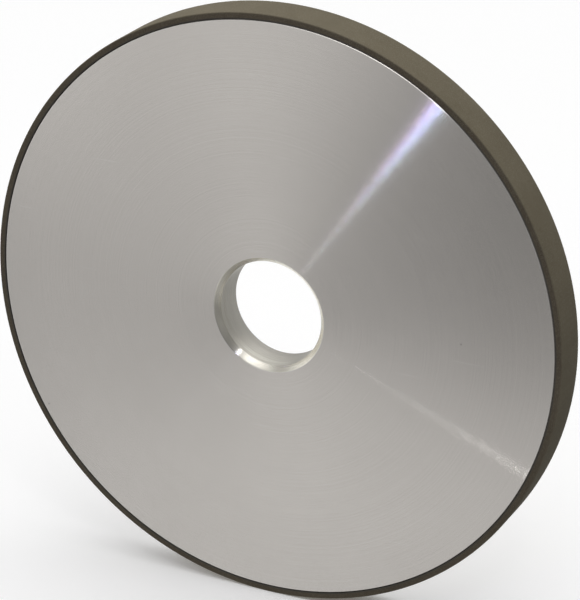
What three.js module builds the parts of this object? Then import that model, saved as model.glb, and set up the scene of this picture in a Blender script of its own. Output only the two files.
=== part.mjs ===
// Straight diamond grinding wheel for lapidary work.
// A turned aluminium disc carries a thin ring of resin-bonded diamond on its outer edge. A layer
// of plain bond lies between the two, and its ribs fill shallow grooves in the disc's edge, so
// the ring can't slip off sideways. The wheel is clamped between two flanges on a spindle, which
// passes through the round arbor hole.
// Millimetres. The wheel turns about Y, its front face looks along -Y, +Z is up, and the origin
// is its centre.

import * as THREE from "three";

// Driving dimensions
const wheelDiameter = 177.8; // over the diamond, 7 in
const wheelThickness = 12.7; // 1/2 in
const arborHoleDiameter = 31.75; // 1-1/4 in
const arborHoleChamfer = 1.5875; // 45 degrees, on both faces
const diamondDepth = 1.5875; // the layer that wears away in use, 1/16 in
const backingDepth = 0.3; // plain bond between the disc and the diamond
const discEdgeChamfer = 0.4; // 45 degrees, on the disc's two outer corners
const diamondCornerRadius = 0.35; // dressed outer corners of the ring
const grooveCount = 3; // keying grooves in the disc's outer edge
const groovePitch = 3; // between the middles of neighbouring grooves
const grooveWidth = 1.2; // at the mouth
const grooveDepth = 0.5;
const grooveFlankAngle = 20; // degrees from a straight-sided groove

// How finely the round shapes are divided
const turnSteps = 96;
const cornerSteps = 3;

// Radii and half-widths that follow from them
const wheelRadius = wheelDiameter / 2;
const halfThickness = wheelThickness / 2;
const arborHoleRadius = arborHoleDiameter / 2;
const diamondInnerRadius = wheelRadius - diamondDepth;
const discRadius = diamondInnerRadius - backingDepth;
const grooveFloorHalf = grooveWidth / 2 - grooveDepth * Math.tan(THREE.MathUtils.degToRad(grooveFlankAngle));

const aluminium = new THREE.MeshStandardMaterial({ color: 0xa6a39c, metalness: 1, roughness: 0.38 });
const plainBond = new THREE.MeshStandardMaterial({ color: 0x3b3730, metalness: 0, roughness: 0.8 });
const diamondBond = new THREE.MeshStandardMaterial({ color: 0x56513f, metalness: 0, roughness: 0.9 });

// A point of a turned outline: distance from the axis, then place along it.
function at(radius, y) {
  return new THREE.Vector2(radius, y);
}

// The disc's outer edge from front to back, with its keying grooves. The disc and the backing
// both take their outline from here, so they meet face to face.
function keyedEdge() {
  const points = [];
  const firstMiddle = (-(grooveCount - 1) * groovePitch) / 2;
  for (let i = 0; i < grooveCount; i += 1) {
    const middle = firstMiddle + i * groovePitch;
    points.push(at(discRadius, middle - grooveWidth / 2));
    points.push(at(discRadius - grooveDepth, middle - grooveFloorHalf));
    points.push(at(discRadius - grooveDepth, middle + grooveFloorHalf));
    points.push(at(discRadius, middle + grooveWidth / 2));
  }
  return points;
}

// A quarter round from one angle to the next, in degrees, about a centre.
function cornerArc(centre, startAngle) {
  const points = [];
  for (let i = 0; i <= cornerSteps; i += 1) {
    const angle = THREE.MathUtils.degToRad(startAngle + (90 * i) / cornerSteps);
    const radius = centre.x + diamondCornerRadius * Math.cos(angle);
    points.push(at(radius, centre.y + diamondCornerRadius * Math.sin(angle)));
  }
  return points;
}

// One turned piece from its outline, which runs round the section anticlockwise.
function turned(name, outline, material) {
  const geometry = new THREE.LatheGeometry([...outline, outline[0].clone()], turnSteps);
  const mesh = new THREE.Mesh(geometry, material);
  mesh.name = name;
  return mesh;
}

// The disc: flat faces, a chamfered arbor hole and a grooved edge with broken corners.
function coreDisc() {
  const outline = [
    at(arborHoleRadius, -halfThickness + arborHoleChamfer),
    at(arborHoleRadius + arborHoleChamfer, -halfThickness),
    at(discRadius - discEdgeChamfer, -halfThickness),
    at(discRadius, -halfThickness + discEdgeChamfer),
    ...keyedEdge(),
    at(discRadius, halfThickness - discEdgeChamfer),
    at(discRadius - discEdgeChamfer, halfThickness),
    at(arborHoleRadius + arborHoleChamfer, halfThickness),
    at(arborHoleRadius, halfThickness - arborHoleChamfer),
  ];
  return turned("core_disc", outline, aluminium);
}

// The backing: a sleeve of plain bond whose ribs fill the disc's grooves.
function bondBacking() {
  const outline = [
    at(diamondInnerRadius, -halfThickness),
    at(diamondInnerRadius, halfThickness),
    at(discRadius, halfThickness),
    at(discRadius, halfThickness - discEdgeChamfer),
    ...keyedEdge().reverse(),
    at(discRadius, -halfThickness + discEdgeChamfer),
    at(discRadius, -halfThickness),
  ];
  return turned("bond_backing", outline, plainBond);
}

// The diamond ring, with dressed outer corners.
function diamondRim() {
  const cornerRadius = wheelRadius - diamondCornerRadius;
  const cornerY = halfThickness - diamondCornerRadius;
  const outline = [
    at(diamondInnerRadius, -halfThickness),
    ...cornerArc(at(cornerRadius, -cornerY), -90),
    ...cornerArc(at(cornerRadius, cornerY), 0),
    at(diamondInnerRadius, halfThickness),
  ];
  return turned("diamond_rim", outline, diamondBond);
}

const wheel = new THREE.Group();
wheel.add(coreDisc(), bondBacking(), diamondRim());

export default wheel;
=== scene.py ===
import math

import bmesh
import bpy
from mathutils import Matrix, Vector


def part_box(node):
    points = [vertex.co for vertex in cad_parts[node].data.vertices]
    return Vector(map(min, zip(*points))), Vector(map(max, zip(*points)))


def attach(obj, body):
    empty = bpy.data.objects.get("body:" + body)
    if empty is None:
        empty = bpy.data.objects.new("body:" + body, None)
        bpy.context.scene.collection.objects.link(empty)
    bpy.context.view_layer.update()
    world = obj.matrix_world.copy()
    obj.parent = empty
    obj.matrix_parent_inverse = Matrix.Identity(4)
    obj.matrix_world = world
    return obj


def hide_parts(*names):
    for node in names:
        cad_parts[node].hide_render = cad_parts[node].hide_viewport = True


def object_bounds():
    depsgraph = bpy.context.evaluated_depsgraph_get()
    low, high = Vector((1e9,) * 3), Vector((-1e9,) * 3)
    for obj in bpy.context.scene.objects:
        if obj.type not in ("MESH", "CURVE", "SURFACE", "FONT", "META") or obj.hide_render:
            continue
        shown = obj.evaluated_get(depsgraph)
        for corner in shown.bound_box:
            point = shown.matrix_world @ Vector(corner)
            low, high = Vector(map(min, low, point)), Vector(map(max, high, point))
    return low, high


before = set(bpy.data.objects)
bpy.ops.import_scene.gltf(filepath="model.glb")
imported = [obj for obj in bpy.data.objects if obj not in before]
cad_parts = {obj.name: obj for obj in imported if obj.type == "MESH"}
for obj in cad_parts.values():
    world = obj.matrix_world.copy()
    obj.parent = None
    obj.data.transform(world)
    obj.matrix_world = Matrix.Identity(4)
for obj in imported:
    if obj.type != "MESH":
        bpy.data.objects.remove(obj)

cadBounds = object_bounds()
mm = 0.001
near = 0.01 * mm  # two places closer than this are the same place
wheelAxis = (0.0, 1.0, 0.0)


# Sizes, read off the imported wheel. The axis is Y and the front face looks along -Y.

def turnedOutline(node):
    # distance from the axis and place along it, of every point of a turned piece
    return [(math.hypot(v.co.x, v.co.z), v.co.y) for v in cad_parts[node].data.vertices]


def radiiAt(node, y):
    found = [radius for radius, place in turnedOutline(node) if abs(place - y) < near]
    return min(found), max(found)


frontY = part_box("core_disc")[0].y
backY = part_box("core_disc")[1].y
boreRadius = min(radius for radius, place in turnedOutline("core_disc"))
faceInner, faceOuter = radiiAt("core_disc", frontY)
discRadius, diamondInner = radiiAt("bond_backing", frontY)
wheelRadius = max(radius for radius, place in turnedOutline("diamond_rim"))
rimCorner = wheelRadius - radiiAt("diamond_rim", frontY)[1]
smoothBelow = math.radians(28)  # edges that turn by less than this are shaded smooth
weldGap = 0.002 * mm
sizes = (boreRadius, faceInner, faceOuter, discRadius, diamondInner, wheelRadius, rimCorner)
print("sizes in mm:", [round(size / mm, 3) for size in sizes])


# Turning a piece from its section, as on a lathe: x is the distance from the axis, y the place along it.

def clearSelection():
    bpy.ops.object.select_all(action="DESELECT")


def startSection(name, corners):
    # a small plane, merged to one vertex, then drawn round the section by extruding it
    clearSelection()
    bpy.ops.mesh.primitive_plane_add(size=mm, location=(corners[0][0], corners[0][1], 0))
    piece = bpy.context.object
    piece.name = name
    piece.data.name = name
    bpy.ops.object.transform_apply(location=True, rotation=True, scale=True)
    bpy.ops.object.mode_set(mode="EDIT")
    bpy.ops.mesh.select_mode(type="VERT")
    bpy.ops.mesh.select_all(action="SELECT")
    bpy.ops.mesh.merge(type="CENTER")
    for last, corner in zip(corners, corners[1:]):
        step = (corner[0] - last[0], corner[1] - last[1], 0)
        bpy.ops.mesh.extrude_region_move(TRANSFORM_OT_translate={"value": step})
    bpy.ops.mesh.select_all(action="SELECT")
    bpy.ops.mesh.edge_face_add()
    return piece


def easeCorners(piece, test, width, steps):
    # rounds the section's corners that pass the test; with one step it cuts them straight
    mesh = bmesh.from_edit_mesh(piece.data)
    for vertex in mesh.verts:
        vertex.select = test(vertex.co.x, vertex.co.y)
    mesh.select_flush_mode()
    bmesh.update_edit_mesh(piece.data)
    bpy.ops.mesh.bevel(offset=width, segments=steps, affect="VERTICES")


def turn(piece, steps):
    # spins the section once round the axis and closes the seam
    bpy.ops.mesh.select_all(action="SELECT")
    bpy.ops.mesh.delete(type="ONLY_FACE")
    bpy.ops.mesh.select_all(action="SELECT")
    bpy.ops.mesh.spin(steps=steps, angle=2 * math.pi, center=(0, 0, 0), axis=wheelAxis)
    bpy.ops.mesh.select_all(action="SELECT")
    bpy.ops.mesh.remove_doubles(threshold=weldGap)
    bpy.ops.mesh.normals_make_consistent(inside=False)
    bpy.ops.object.mode_set(mode="OBJECT")
    bpy.ops.object.shade_smooth_by_angle(angle=smoothBelow)


# Node helpers.

def newMaterial(name):
    material = bpy.data.materials.new(name)
    material.use_nodes = True
    material.node_tree.nodes.clear()
    return material


class Sheet:
    # a small desk for placing and wiring nodes in one tree
    def __init__(self, tree):
        self.tree = tree
        self.column = 0

    def add(self, kind, **settings):
        node = self.tree.nodes.new(kind)
        self.column += 1
        node.location = (self.column * 190, -(self.column % 4) * 160)
        for key, value in settings.items():
            setattr(node, key, value)
        return node

    def feed(self, socket, value):
        if hasattr(value, "is_output"):
            self.tree.links.new(value, socket)
        else:
            socket.default_value = value

    def maths(self, operation, first, second=0.0, third=0.0, clamp=False):
        node = self.add("ShaderNodeMath", operation=operation, use_clamp=clamp)
        for socket, value in zip(node.inputs, (first, second, third)):
            self.feed(socket, value)
        return node.outputs[0]

    def vector(self, operation, first, second=(0, 0, 0), scale=None):
        node = self.add("ShaderNodeVectorMath", operation=operation)
        self.feed(node.inputs[0], first)
        if operation == "SCALE":
            self.feed(node.inputs["Scale"], scale)
        elif operation not in ("NORMALIZE", "LENGTH"):
            self.feed(node.inputs[1], second)
        return node.outputs["Value"] if operation in ("LENGTH", "DOT_PRODUCT") else node.outputs["Vector"]

    def place(self):
        return self.add("ShaderNodeTexCoord").outputs["Object"]

    def parts(self, vector):
        node = self.add("ShaderNodeSeparateXYZ")
        self.feed(node.inputs[0], vector)
        return node.outputs

    def noise(self, where, scale, detail=2.0, roughness=0.5, dimensions="3D"):
        node = self.add("ShaderNodeTexNoise", noise_dimensions=dimensions)
        self.feed(node.inputs["W" if dimensions == "1D" else "Vector"], where)
        self.feed(node.inputs["Scale"], scale)
        node.inputs["Detail"].default_value = detail
        node.inputs["Roughness"].default_value = roughness
        return node.outputs[0]

    def cells(self, where, scale):
        node = self.add("ShaderNodeTexVoronoi", feature="F1")
        self.feed(node.inputs["Vector"], where)
        self.feed(node.inputs["Scale"], scale)
        return node.outputs

    def turned(self, where, angle, stretch):
        # the pattern's own axes: turned about the wheel axis, then drawn out along one of them
        node = self.add("ShaderNodeMapping", vector_type="POINT")
        self.feed(node.inputs["Vector"], where)
        node.inputs["Rotation"].default_value = (0.0, math.radians(angle), 0.0)
        node.inputs["Scale"].default_value = stretch
        return node.outputs[0]

    def spread(self, value, low, high, outLow=0.0, outHigh=1.0):
        node = self.add("ShaderNodeMapRange")
        for socket, number in zip(node.inputs, (value, low, high, outLow, outHigh)):
            self.feed(socket, number)
        return node.outputs[0]

    def blend(self, amount, first, second):
        node = self.add("ShaderNodeMix", data_type="RGBA", blend_type="MIX")
        self.feed(node.inputs[0], amount)
        self.feed(node.inputs[6], first)
        self.feed(node.inputs[7], second)
        return node.outputs[2]

    def bump(self, height, depth):
        node = self.add("ShaderNodeBump")
        node.inputs["Strength"].default_value = 1.0
        node.inputs["Distance"].default_value = depth
        self.feed(node.inputs["Height"], height)
        return node.outputs["Normal"]


def newGroup(name, inputs, outputs):
    tree = bpy.data.node_groups.new(name, "ShaderNodeTree")
    for label, kind, value in inputs:
        socket = tree.interface.new_socket(label, in_out="INPUT", socket_type="NodeSocket" + kind)
        socket.default_value = value
    for label, kind in outputs:
        tree.interface.new_socket(label, in_out="OUTPUT", socket_type="NodeSocket" + kind)
    sheet = Sheet(tree)
    return tree, sheet, sheet.add("NodeGroupInput").outputs, sheet.add("NodeGroupOutput").inputs


def useGroup(sheet, tree, **values):
    node = sheet.add("ShaderNodeGroup", node_tree=tree)
    for label, value in values.items():
        sheet.feed(node.inputs[label], value)
    return node.outputs


# Effects that several materials share.

def makeTurningLines():
    # tool lines: each fine line leans across the cut by its own amount, and broad bands differ a little
    tree, sheet, given, out = newGroup(
        "turningLines",
        [
            ("Across", "Float", 0.0),
            ("Direction", "Vector", (1, 0, 0)),
            ("LinesPerMetre", "Float", 60000.0),
            ("Lean", "Float", 0.15),
            ("LeanRange", "Float", 0.9),
            ("BandLean", "Float", 0.02),
        ],
        [("Normal", "Vector"), ("Tone", "Float")],
    )
    line = sheet.maths("FLOOR", sheet.maths("MULTIPLY", given["Across"], given["LinesPerMetre"]))
    chance = sheet.add("ShaderNodeTexWhiteNoise", noise_dimensions="1D")
    sheet.feed(chance.inputs["W"], line)
    three = sheet.parts(chance.outputs["Color"])
    total = sheet.maths("ADD", sheet.maths("ADD", three[0], three[1]), three[2])
    own = sheet.maths("MULTIPLY", sheet.spread(total, 0.0, 3.0, -0.5, 0.5), given["LeanRange"])
    bands = sheet.noise(given["Across"], 2500.0, detail=4.0, roughness=0.65, dimensions="1D")
    broad = sheet.maths("MULTIPLY", sheet.spread(bands, 0.25, 0.75, -1.0, 1.0), given["BandLean"])
    lean = sheet.maths("ADD", sheet.maths("ADD", own, broad), given["Lean"])
    tilt = sheet.vector("SCALE", given["Direction"], scale=lean)
    flat = sheet.add("ShaderNodeNewGeometry").outputs["Normal"]
    sheet.feed(out["Normal"], sheet.vector("NORMALIZE", sheet.vector("ADD", flat, tilt)))
    sheet.feed(out["Tone"], bands)
    return tree


def makeHandlingMarks():
    # what storage and hands leave: soft clouds, small specks and short straight hairline scratches
    tree, sheet, given, out = newGroup(
        "handlingMarks",
        [("Place", "Vector", (0, 0, 0)), ("CloudScale", "Float", 40.0), ("SpeckScale", "Float", 260.0)],
        [("Clouds", "Float"), ("Specks", "Float"), ("Scratches", "Float")],
    )
    clouds = sheet.noise(given["Place"], given["CloudScale"], 5.0, 0.6)
    sheet.feed(out["Clouds"], sheet.spread(clouds, 0.3, 0.7))
    cells = sheet.cells(given["Place"], given["SpeckScale"])
    chosen = sheet.spread(sheet.parts(cells["Color"])[0], 0.86, 0.9)
    size = sheet.spread(sheet.parts(cells["Color"])[1], 0.0, 1.0, 0.02, 0.07)
    inside = sheet.maths("LESS_THAN", cells["Distance"], size)
    sheet.feed(out["Specks"], sheet.maths("MULTIPLY", chosen, inside))
    hairs = 0.0
    for angle in (18, -37, 71):
        stretched = sheet.turned(given["Place"], angle, (35.0, 35.0, 2600.0))
        line = sheet.spread(sheet.noise(stretched, 1.0, 1.0, 0.4), 0.79, 0.82)
        hairs = sheet.maths("MAXIMUM", hairs, line)
    sheet.feed(out["Scratches"], hairs)
    return tree


def makeEdgeRub():
    # how rubbed a turned edge is: strongest on the edge, broken up by noise, fading over the width
    tree, sheet, given, out = newGroup(
        "edgeRub",
        [
            ("Place", "Vector", (0, 0, 0)),
            ("EdgeRadius", "Float", wheelRadius),
            ("EdgeSide", "Float", backY),
            ("Width", "Float", 0.3 * mm),
            ("Breakup", "Float", 900.0),
        ],
        [("Mask", "Float")],
    )
    radius = sheet.vector("LENGTH", sheet.vector("MULTIPLY", given["Place"], (1, 0, 1)))
    side = sheet.maths("ABSOLUTE", sheet.parts(given["Place"])[1])
    offRadius = sheet.maths("SUBTRACT", radius, given["EdgeRadius"])
    offSide = sheet.maths("SUBTRACT", side, given["EdgeSide"])
    squares = sheet.maths("ADD", sheet.maths("POWER", sheet.maths("ABSOLUTE", offRadius), 2.0),
                          sheet.maths("POWER", sheet.maths("ABSOLUTE", offSide), 2.0))
    away = sheet.maths("DIVIDE", sheet.maths("SQRT", squares), given["Width"])
    rough = sheet.spread(sheet.noise(given["Place"], given["Breakup"], 4.0, 0.6), 0.3, 0.7, -0.6, 0.5)
    sheet.feed(out["Mask"], sheet.spread(sheet.maths("SUBTRACT", away, rough), 0.3, 1.0, 1.0, 0.0))
    return tree


def makeGritSpeckle():
    # abrasive grains in their bond: a shade for each grain, the grains that stand out, and their height
    tree, sheet, given, out = newGroup(
        "gritSpeckle",
        [("Place", "Vector", (0, 0, 0)), ("GrainsPerMetre", "Float", 4500.0), ("Share", "Float", 0.35)],
        [("Shade", "Float"), ("Grains", "Float"), ("Height", "Float")],
    )
    cells = sheet.cells(given["Place"], given["GrainsPerMetre"])
    shade = sheet.parts(cells["Color"])
    body = sheet.spread(cells["Distance"], 0.2, 0.5, 1.0, 0.0)
    picked = sheet.maths("LESS_THAN", shade[0], given["Share"])
    grains = sheet.maths("MULTIPLY", body, picked)
    fine = sheet.noise(given["Place"], sheet.maths("MULTIPLY", given["GrainsPerMetre"], 2.0), 3.0, 0.6)
    sheet.feed(out["Shade"], shade[1])
    sheet.feed(out["Grains"], grains)
    sheet.feed(out["Height"], sheet.maths("ADD", grains, sheet.maths("MULTIPLY", fine, 0.6)))
    return tree


turningLines = makeTurningLines()
handlingMarks = makeHandlingMarks()
edgeRub = makeEdgeRub()
gritSpeckle = makeGritSpeckle()
print("shared effects are ready")


def finishMaterial(sheet, settings, links):
    # one Principled shader: plain values on its own sockets, then what changes over the surface
    shader = sheet.add("ShaderNodeBsdfPrincipled")
    for label, value in settings.items():
        shader.inputs[label].default_value = value
    for label, value in links.items():
        sheet.feed(shader.inputs[label], value)
    output = sheet.add("ShaderNodeOutputMaterial")
    sheet.feed(output.inputs["Surface"], shader.outputs[0])


# The turned aluminium disc: faces, edge chamfers, keying grooves under the bond, and the chamfered bore.

discLook = {
    "turnSteps": 512,
    "easedEdge": 0.05 * mm,
    "faceColour": (0.773, 0.738, 0.698, 1),
    # boreColour is lighter and warmer than faceColour on the same metal: a painted reflection of warm
    # surroundings in the bore
    "boreColour": (0.85, 0.822, 0.725, 1),
    "dull": (0.62, 0.59, 0.553, 1),
    "speck": (0.26, 0.25, 0.23, 1),
    "bright": (0.92, 0.90, 0.87, 1),
    "faceRoughness": 0.15,
    "boreRoughness": 0.19,
    "faceClouds": 0.18,
    "boreClouds": 0.3,
    "toneShare": 0.24,  # how far the turning lines differ in colour
    "speckShare": 0.6,
    "scratchShare": 0.35,
    "rubShare": 0.2,
    "cloudDulling": 0.02,
    "speckDulling": 0.06,
    "scratchDulling": 0.08,
    "rub": {"EdgeSide": backY, "Breakup": 500.0},
    "face": {"LinesPerMetre": 1500000.0, "Lean": 0.15, "LeanRange": 0.9, "BandLean": 0.003},
    "bore": {"LinesPerMetre": 14000.0, "Lean": 0.0, "LeanRange": 0.6, "BandLean": 0.05},
    "marks": {"CloudScale": 22.0, "SpeckScale": 150.0},
}


def makeAluminium(name, lines):
    material = newMaterial(name)
    sheet = Sheet(material.node_tree)
    place = sheet.place()
    outward = sheet.vector("MULTIPLY", place, (1, 0, 1))
    radius = sheet.vector("LENGTH", outward)
    around = sheet.vector("CROSS_PRODUCT", place, wheelAxis)
    if lines == "face":
        across = radius
        direction = sheet.vector("NORMALIZE", outward)
    else:
        across = sheet.parts(place)[1]
        flat = sheet.add("ShaderNodeNewGeometry").outputs["Normal"]
        direction = sheet.vector("NORMALIZE", sheet.vector("CROSS_PRODUCT", around, flat))
    cut = useGroup(sheet, turningLines, Across=across, Direction=direction, **discLook[lines])
    marks = useGroup(sheet, handlingMarks, Place=place, **discLook["marks"])
    rub = discLook["rub"]
    outerRub = useGroup(sheet, edgeRub, Place=place, EdgeRadius=faceOuter, Width=0.35 * mm, **rub)
    boreRub = useGroup(sheet, edgeRub, Place=place, EdgeRadius=faceInner, Width=0.3 * mm, **rub)
    rubbed = sheet.maths("MAXIMUM", outerRub["Mask"], boreRub["Mask"])
    tone = sheet.spread(cut["Tone"], 0.3, 0.7, 0.0, discLook["toneShare"])
    stain = sheet.maths("ADD", tone, sheet.maths("MULTIPLY", marks["Clouds"], discLook[lines + "Clouds"]))
    # in the bore this starting colour holds a painted reflection: lighter and warmer than the face's
    colour = sheet.blend(stain, discLook[lines + "Colour"], discLook["dull"])
    for mask, share, shade in (
        (marks["Specks"], "speckShare", "speck"),
        (marks["Scratches"], "scratchShare", "bright"),
        (rubbed, "rubShare", "bright"),
    ):
        colour = sheet.blend(sheet.maths("MULTIPLY", mask, discLook[share]), colour, discLook[shade])
    dulled = discLook[lines + "Roughness"]
    for mark, share in (
        ("Clouds", "cloudDulling"),
        ("Specks", "speckDulling"),
        ("Scratches", "scratchDulling"),
    ):
        dulled = sheet.maths("MULTIPLY_ADD", marks[mark], discLook[share], dulled)
    finishMaterial(
        sheet,
        {"Metallic": 1.0, "Anisotropic": 1.0, "Anisotropic Rotation": 0.25},
        {"Base Color": colour, "Roughness": dulled, "Normal": cut["Normal"], "Tangent": around},
    )
    return material


def discEdge():
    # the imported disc's outer edge from front to back: chamfer, keying grooves, chamfer
    points = {(round(radius, 7), round(place, 7)) for radius, place in turnedOutline("core_disc")}
    chamfers = {point for point in points if point[0] > faceOuter + near}
    grooves = {point for point in points
               if point[0] > discRadius - 1.0 * mm and abs(point[1]) < backY - 0.5 * mm}
    return sorted(chamfers | grooves, key=lambda point: point[1])


def makeDisc():
    chamfer = faceInner - boreRadius
    front = [(boreRadius, frontY + chamfer), (faceInner, frontY), (faceOuter, frontY)]
    back = [(faceOuter, backY), (faceInner, backY), (boreRadius, backY - chamfer)]
    piece = startSection("turnedDisc", front + discEdge() + back)
    easeCorners(piece, lambda x, y: x < faceOuter + 0.001 * mm, discLook["easedEdge"], 2)
    turn(piece, discLook["turnSteps"])
    piece.data.materials.append(makeAluminium("facedAluminium", "face"))
    piece.data.materials.append(makeAluminium("boredAluminium", "bore"))
    for polygon in piece.data.polygons:
        insideBore = math.hypot(polygon.center.x, polygon.center.z) < faceInner - 2 * near
        polygon.material_index = 1 if insideBore else 0
    return piece


disc = makeDisc()
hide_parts("core_disc")
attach(disc, "root")
print("disc turned,", len(disc.data.polygons), "faces")


# The plain bond ring: it fills the disc's keying grooves and shows as a hairline beside the diamond layer.

backingLook = {
    "turnSteps": 512,
    "easedEdge": 0.03 * mm,
    "colour": (0.050, 0.045, 0.037, 1),
    "light": (0.095, 0.086, 0.070, 1),
    "roughness": 0.62,
    "shine": 0.22,
    "grainShare": 0.25,
    "cloudShare": 0.4,
    "rubShare": 0.3,
    "cloudDulling": 0.1,
    "speckle": {"GrainsPerMetre": 7000.0, "Share": 0.2},
    "marks": {"CloudScale": 60.0, "SpeckScale": 500.0},
    "bumpDepth": 0.012 * mm,
}


def makeBackingMaterial():
    material = newMaterial("plainBond")
    sheet = Sheet(material.node_tree)
    place = sheet.place()
    grit = useGroup(sheet, gritSpeckle, Place=place, **backingLook["speckle"])
    marks = useGroup(sheet, handlingMarks, Place=place, **backingLook["marks"])
    rubbed = useGroup(sheet, edgeRub, Place=place, EdgeRadius=discRadius, EdgeSide=backY, Width=0.12 * mm,
                      Breakup=1500.0)
    clouds = sheet.maths("MULTIPLY", marks["Clouds"], backingLook["cloudShare"])
    shade = sheet.maths("MULTIPLY_ADD", grit["Shade"], backingLook["grainShare"], clouds)
    shade = sheet.maths("MULTIPLY_ADD", rubbed["Mask"], backingLook["rubShare"], shade, clamp=True)
    dulling = backingLook["cloudDulling"]
    dulled = sheet.maths("MULTIPLY_ADD", marks["Clouds"], dulling, backingLook["roughness"])
    finishMaterial(
        sheet,
        {"Specular IOR Level": backingLook["shine"]},
        {
            "Base Color": sheet.blend(shade, backingLook["colour"], backingLook["light"]),
            "Roughness": dulled,
            "Normal": sheet.bump(grit["Height"], backingLook["bumpDepth"]),
        },
    )
    return material


def makeBacking():
    outer = [(discRadius, backY), (diamondInner, backY), (diamondInner, frontY)]
    section = [(discRadius, frontY)] + discEdge() + outer
    piece = startSection("bondRing", section)
    easeCorners(piece, lambda x, y: x < discRadius + 0.001 * mm and abs(y) > backY - near,
                backingLook["easedEdge"], 2)
    turn(piece, backingLook["turnSteps"])
    piece.data.materials.append(makeBackingMaterial())
    return piece


backing = makeBacking()
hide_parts("bond_backing")
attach(backing, "root")
print("bond ring turned,", len(backing.data.polygons), "faces")


# The diamond layer: a band of grit in resin bond, its sides coloured darker than its working face.

rimLook = {
    "turnSteps": 512,
    "cornerSteps": 6,
    "faceColour": (0.143, 0.122, 0.081, 1),
    "faceLight": (0.202, 0.177, 0.126, 1),
    "sideColour": (0.070, 0.057, 0.040, 1),
    "sideLight": (0.115, 0.097, 0.071, 1),
    "grainColour": (0.30, 0.29, 0.22, 1),
    "cornerColour": (0.12, 0.108, 0.082, 1),
    "roughness": 0.6,
    "shine": 0.08,
    "grainShare": 0.45,
    "cloudShare": 0.5,
    "grainColourShare": 0.35,
    "cornerShare": 0.3,
    "grainGloss": -0.2,
    "cloudDulling": 0.1,
    "speckle": {"GrainsPerMetre": 4200.0, "Share": 0.3},
    "marks": {"CloudScale": 70.0, "SpeckScale": 420.0},
    "bumpDepth": 0.03 * mm,
}


def makeDiamondMaterial():
    material = newMaterial("diamondBond")
    sheet = Sheet(material.node_tree)
    place = sheet.place()
    radius = sheet.vector("LENGTH", sheet.vector("MULTIPLY", place, (1, 0, 1)))
    grit = useGroup(sheet, gritSpeckle, Place=place, **rimLook["speckle"])
    marks = useGroup(sheet, handlingMarks, Place=place, **rimLook["marks"])
    corner = useGroup(sheet, edgeRub, Place=place, EdgeRadius=wheelRadius, EdgeSide=backY, Width=0.4 * mm,
                      Breakup=1200.0)
    clouds = sheet.maths("MULTIPLY", marks["Clouds"], rimLook["cloudShare"])
    shade = sheet.maths("MULTIPLY_ADD", grit["Shade"], rimLook["grainShare"], clouds)
    side = sheet.blend(shade, rimLook["sideColour"], rimLook["sideLight"])
    face = sheet.blend(shade, rimLook["faceColour"], rimLook["faceLight"])
    # the sides are given darker colours than the working face; this mask blends from one to the other
    # across the rounded corner
    towardsWorkingFace = sheet.spread(radius, wheelRadius - rimCorner, wheelRadius - 0.1 * rimCorner)
    colour = sheet.blend(towardsWorkingFace, side, face)
    grains = sheet.maths("MULTIPLY", grit["Grains"], rimLook["grainColourShare"])
    colour = sheet.blend(grains, colour, rimLook["grainColour"])
    worn = sheet.maths("MULTIPLY", corner["Mask"], rimLook["cornerShare"])
    colour = sheet.blend(worn, colour, rimLook["cornerColour"])
    glints = sheet.maths("MULTIPLY_ADD", grit["Grains"], rimLook["grainGloss"], rimLook["roughness"])
    finishMaterial(
        sheet,
        {"Specular IOR Level": rimLook["shine"]},
        {
            "Base Color": colour,
            "Roughness": sheet.maths("MULTIPLY_ADD", marks["Clouds"], rimLook["cloudDulling"], glints),
            "Normal": sheet.bump(grit["Height"], rimLook["bumpDepth"]),
        },
    )
    return material


def makeRim():
    section = [(diamondInner, frontY), (wheelRadius, frontY), (wheelRadius, backY), (diamondInner, backY)]
    piece = startSection("diamondBand", section)
    easeCorners(piece, lambda x, y: x > wheelRadius - near, rimCorner, rimLook["cornerSteps"])
    turn(piece, rimLook["turnSteps"])
    piece.data.materials.append(makeDiamondMaterial())
    return piece


rim = makeRim()
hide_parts("diamond_rim")
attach(rim, "root")
print("diamond band turned,", len(rim.data.polygons), "faces")


# Floor, light and camera. Bearings run from the front (-Y) towards the right (+X), heights up from level.
# The even light and the glows weren't chosen by hand: a least-squares fit in another program picked the
# glows and worked out every strength, for this one camera. The four tinted lamps stand in for the colours
# that fine turning lines split light into.

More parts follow.
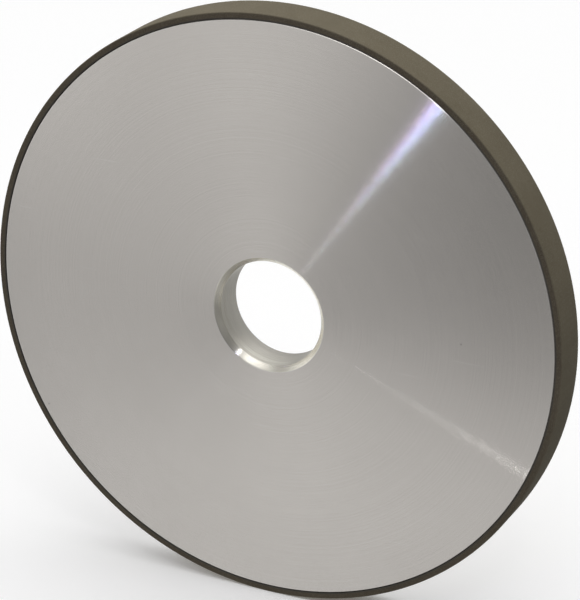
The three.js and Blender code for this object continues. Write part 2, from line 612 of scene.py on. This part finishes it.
studio = {
    "floorSize": 5.0,
    "floorColour": (0.97, 0.97, 0.97, 1),
    "floorRoughness": 0.9,
    "floorLift": 0.08,
    "backdrop": 0.93,
    "evenLight": 0.175,
    "glows": {
        "left": {"bearing": -90, "height": 15, "sharpness": 10, "strength": 1.19},
        "leftLow": {"bearing": -60, "height": -15, "sharpness": 10, "strength": 0.2},
        "frontLeft": {"bearing": -30, "height": 15, "sharpness": 10, "strength": 0.55},
        "frontLeftLow": {"bearing": -30, "height": -45, "sharpness": 10, "strength": 0.53},
        "frontRightLow": {"bearing": 30, "height": -45, "sharpness": 10, "strength": 0.38},
        "right": {"bearing": 60, "height": 10, "sharpness": 10, "strength": 0.13},
        "rightHigh": {"bearing": 20, "height": 57, "sharpness": 60, "strength": 1.12},
        "top": {"bearing": 0, "height": 75, "sharpness": 10, "strength": 1.67},
        "topBehind": {"bearing": 180, "height": 75, "sharpness": 10, "strength": 1.06},
        "behind": {"bearing": 180, "height": 0, "sharpness": 3, "strength": 0.33},
        "behindRightHigh": {"bearing": 120, "height": 60, "sharpness": 10, "strength": 0.6},
        "behindLeftHigh": {"bearing": -120, "height": 45, "sharpness": 10, "strength": 0.72},
        "behindLeftLow": {"bearing": -120, "height": -45, "sharpness": 10, "strength": 1.59},
    },
    "lamps": {
        "key": {
            "bearing": 36.6, "height": 47.1, "distance": 1.0,
            "size": 0.11, "watts": 0.32, "colour": (1, 1, 1),
        },
        "glintInner": {
            "bearing": -4.9, "height": 3.5, "distance": 0.4,
            "size": 0.014, "watts": 0.0016, "colour": (1, 1, 0.88),
        },
        "glintGreen": {
            "bearing": 7.5, "height": 19.1, "distance": 0.4,
            "size": 0.012, "watts": 0.0042, "colour": (0.5, 0.92, 0.95),
        },
        "glintPink": {
            "bearing": 6.4, "height": 19.8, "distance": 0.4,
            "size": 0.012, "watts": 0.0042, "colour": (0.86, 0.56, 0.97),
        },
        "glintOuter": {
            "bearing": 14.1, "height": 27.6, "distance": 0.4,
            "size": 0.015, "watts": 0.0235, "colour": (0.38, 0.38, 1),
        },
        "lowGlint": {
            "bearing": 18.7, "height": -40.4, "distance": 1.0,
            "size": 0.025, "watts": 0.0115, "colour": (1, 1, 1),
        },
    },
    "camera": {
        "azimuth": 25.87,
        "elevation": 22.63,
        "lens": 167.3,
        "sensorWidth": 36,
        "distance": 0.7929,  # from the middle of the front face
        "asideRight": 0.0061875,
        "asideUp": 0.0044046,
    },
}


def towards(bearing, height):
    flat = math.cos(math.radians(height))
    return (math.sin(math.radians(bearing)) * flat, -math.cos(math.radians(bearing)) * flat,
            math.sin(math.radians(height)))


def makeFloor():
    clearSelection()
    bpy.ops.mesh.primitive_plane_add(size=studio["floorSize"], location=(0, 0, cadBounds[0].z))
    floor = bpy.context.object
    floor.name = "floor"
    bpy.ops.object.transform_apply(location=True, rotation=True, scale=True)
    material = newMaterial("paleFloor")
    finishMaterial(
        Sheet(material.node_tree),
        {
            "Base Color": studio["floorColour"],
            "Roughness": studio["floorRoughness"],
            "Emission Color": studio["floorColour"],
            "Emission Strength": studio["floorLift"],
        },
        {},
    )
    floor.data.materials.append(material)
    floor.visible_diffuse = False
    floor.visible_glossy = False
    floor.visible_shadow = False


def makeSoftLight():
    # a light tent: even light with broad soft glows in it; the camera itself sees a plain pale backdrop
    world = bpy.data.worlds.new("lightTent")
    bpy.context.scene.world = world
    world.use_nodes = True
    sheet = Sheet(world.node_tree)
    facing = sheet.add("ShaderNodeTexCoord").outputs["Generated"]
    total = studio["evenLight"]
    for glow in studio["glows"].values():
        closeness = sheet.vector("DOT_PRODUCT", facing, towards(glow["bearing"], glow["height"]))
        shaped = sheet.maths("POWER", sheet.maths("MAXIMUM", closeness, 0.0), glow["sharpness"])
        total = sheet.maths("MULTIPLY_ADD", shaped, glow["strength"], total)
    seen = sheet.add("ShaderNodeLightPath").outputs["Is Camera Ray"]
    shown = sheet.spread(seen, 0.0, 1.0, total, studio["backdrop"])
    sheet.feed(world.node_tree.nodes["Background"].inputs["Color"], shown)


def makeLamp(name, bearing, height, distance, size, watts, colour):
    data = bpy.data.lights.new(name, "AREA")
    data.shape = "DISK"
    data.size = size
    data.energy = watts
    data.color = colour
    lamp = bpy.data.objects.new(name, data)
    bpy.context.collection.objects.link(lamp)
    lamp.location = distance * Vector(towards(bearing, height))
    lamp.rotation_euler = (-lamp.location).to_track_quat("-Z", "Y").to_euler()
    lamp.visible_camera = False


def makeCamera():
    view = studio["camera"]
    azimuth = math.radians(view["azimuth"])
    elevation = math.radians(view["elevation"])
    right = Vector((math.cos(azimuth), math.sin(azimuth), 0))
    level = Vector((math.sin(azimuth), -math.cos(azimuth), 0))
    back = level * math.cos(elevation) + Vector((0, 0, math.sin(elevation)))
    up = back.cross(right)
    data = bpy.data.cameras.new("camera")
    data.lens = view["lens"]
    data.sensor_width = view["sensorWidth"]
    camera = bpy.data.objects.new("camera", data)
    bpy.context.collection.objects.link(camera)
    faceCentre = Vector((0, frontY, 0))
    spot = faceCentre + view["distance"] * back
    spot = spot + view["asideRight"] * right
    camera.location = spot + view["asideUp"] * up
    camera.rotation_euler = back.to_track_quat("Z", "Y").to_euler()
    bpy.context.scene.camera = camera


makeFloor()
makeSoftLight()
for name, lamp in studio["lamps"].items():
    makeLamp(name, **lamp)
makeCamera()
bpy.context.scene.view_settings.view_transform = "Standard"
print("floor, light and camera are set")
